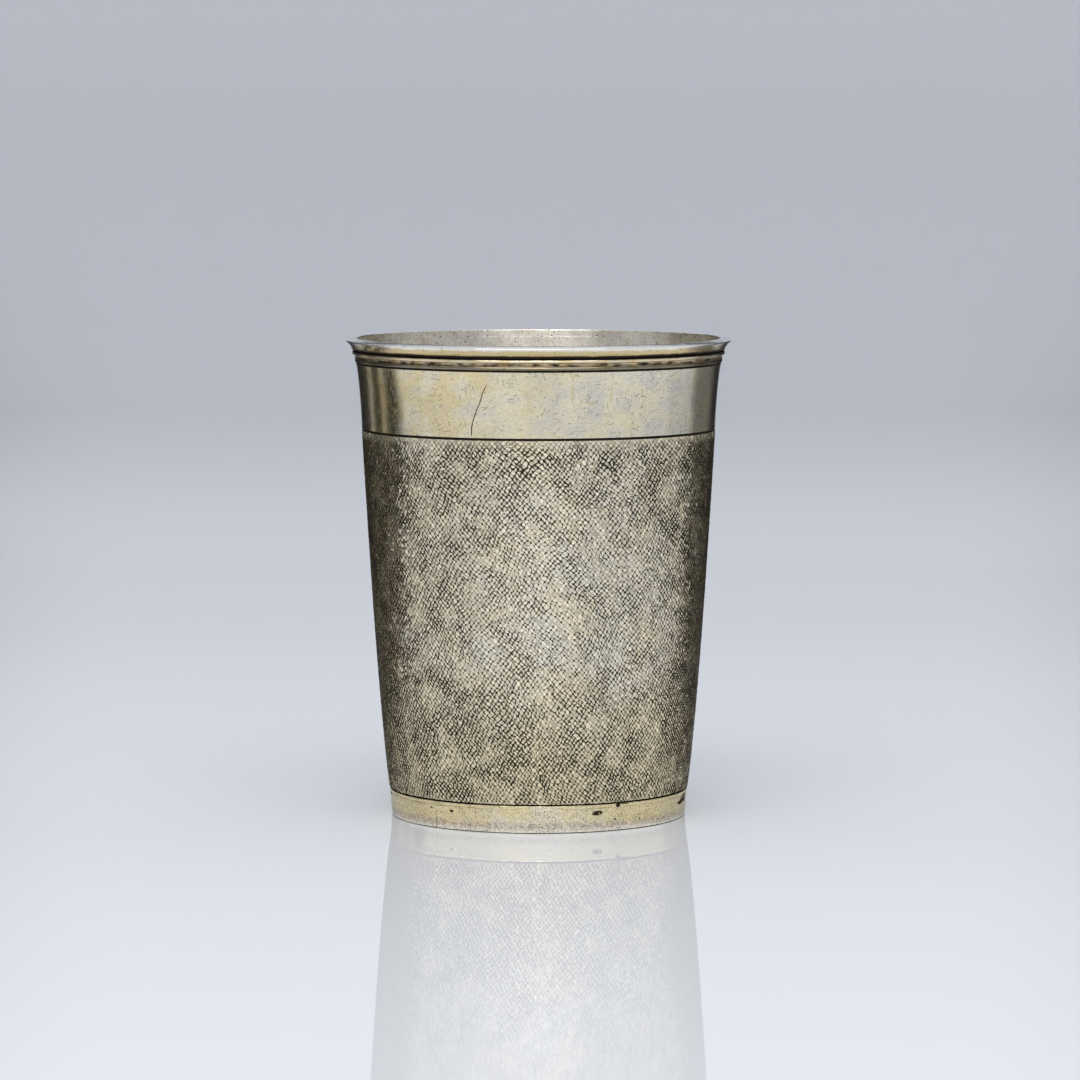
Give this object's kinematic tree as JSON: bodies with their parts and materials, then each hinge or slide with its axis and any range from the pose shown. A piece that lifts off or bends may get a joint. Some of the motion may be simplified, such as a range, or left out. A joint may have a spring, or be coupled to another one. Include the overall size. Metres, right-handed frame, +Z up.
{
  "type": "silver beaker",
  "caption": "Tapering silver drinking beaker with a flared gilt lip, bevelled rim wire, reeded wire, snakeskin-chased wall and plain foot band.",
  "frame": {"origin": "on the beaker's axis, at the level of the surface that it stands on", "axes": "+Z up along the beaker's axis; X and Y in the plane of the foot, with -Y towards the side that the picture shows"},
  "size_m": [0.087, 0.087, 0.108],
  "materials": {
    "chased_silver": "chased silver with dark tarnish in the gaps, and worn gilding on the lip",
    "rim_silver": "worn polished silver with traces of gilding",
    "reed_gilt": "worn gilt silver with dark residue between the reeds",
    "band_gilt": "worn gilt silver with small pits",
    "base_silver": "planished silver, lightly tarnished"
  },
  "bodies": {
    "root": {"wall": "chased_silver", "rim_wire": "rim_silver", "reeded_wire": "reed_gilt", "foot_band": "band_gilt", "base_plate": "base_silver"}
  },
  "joints": []
}
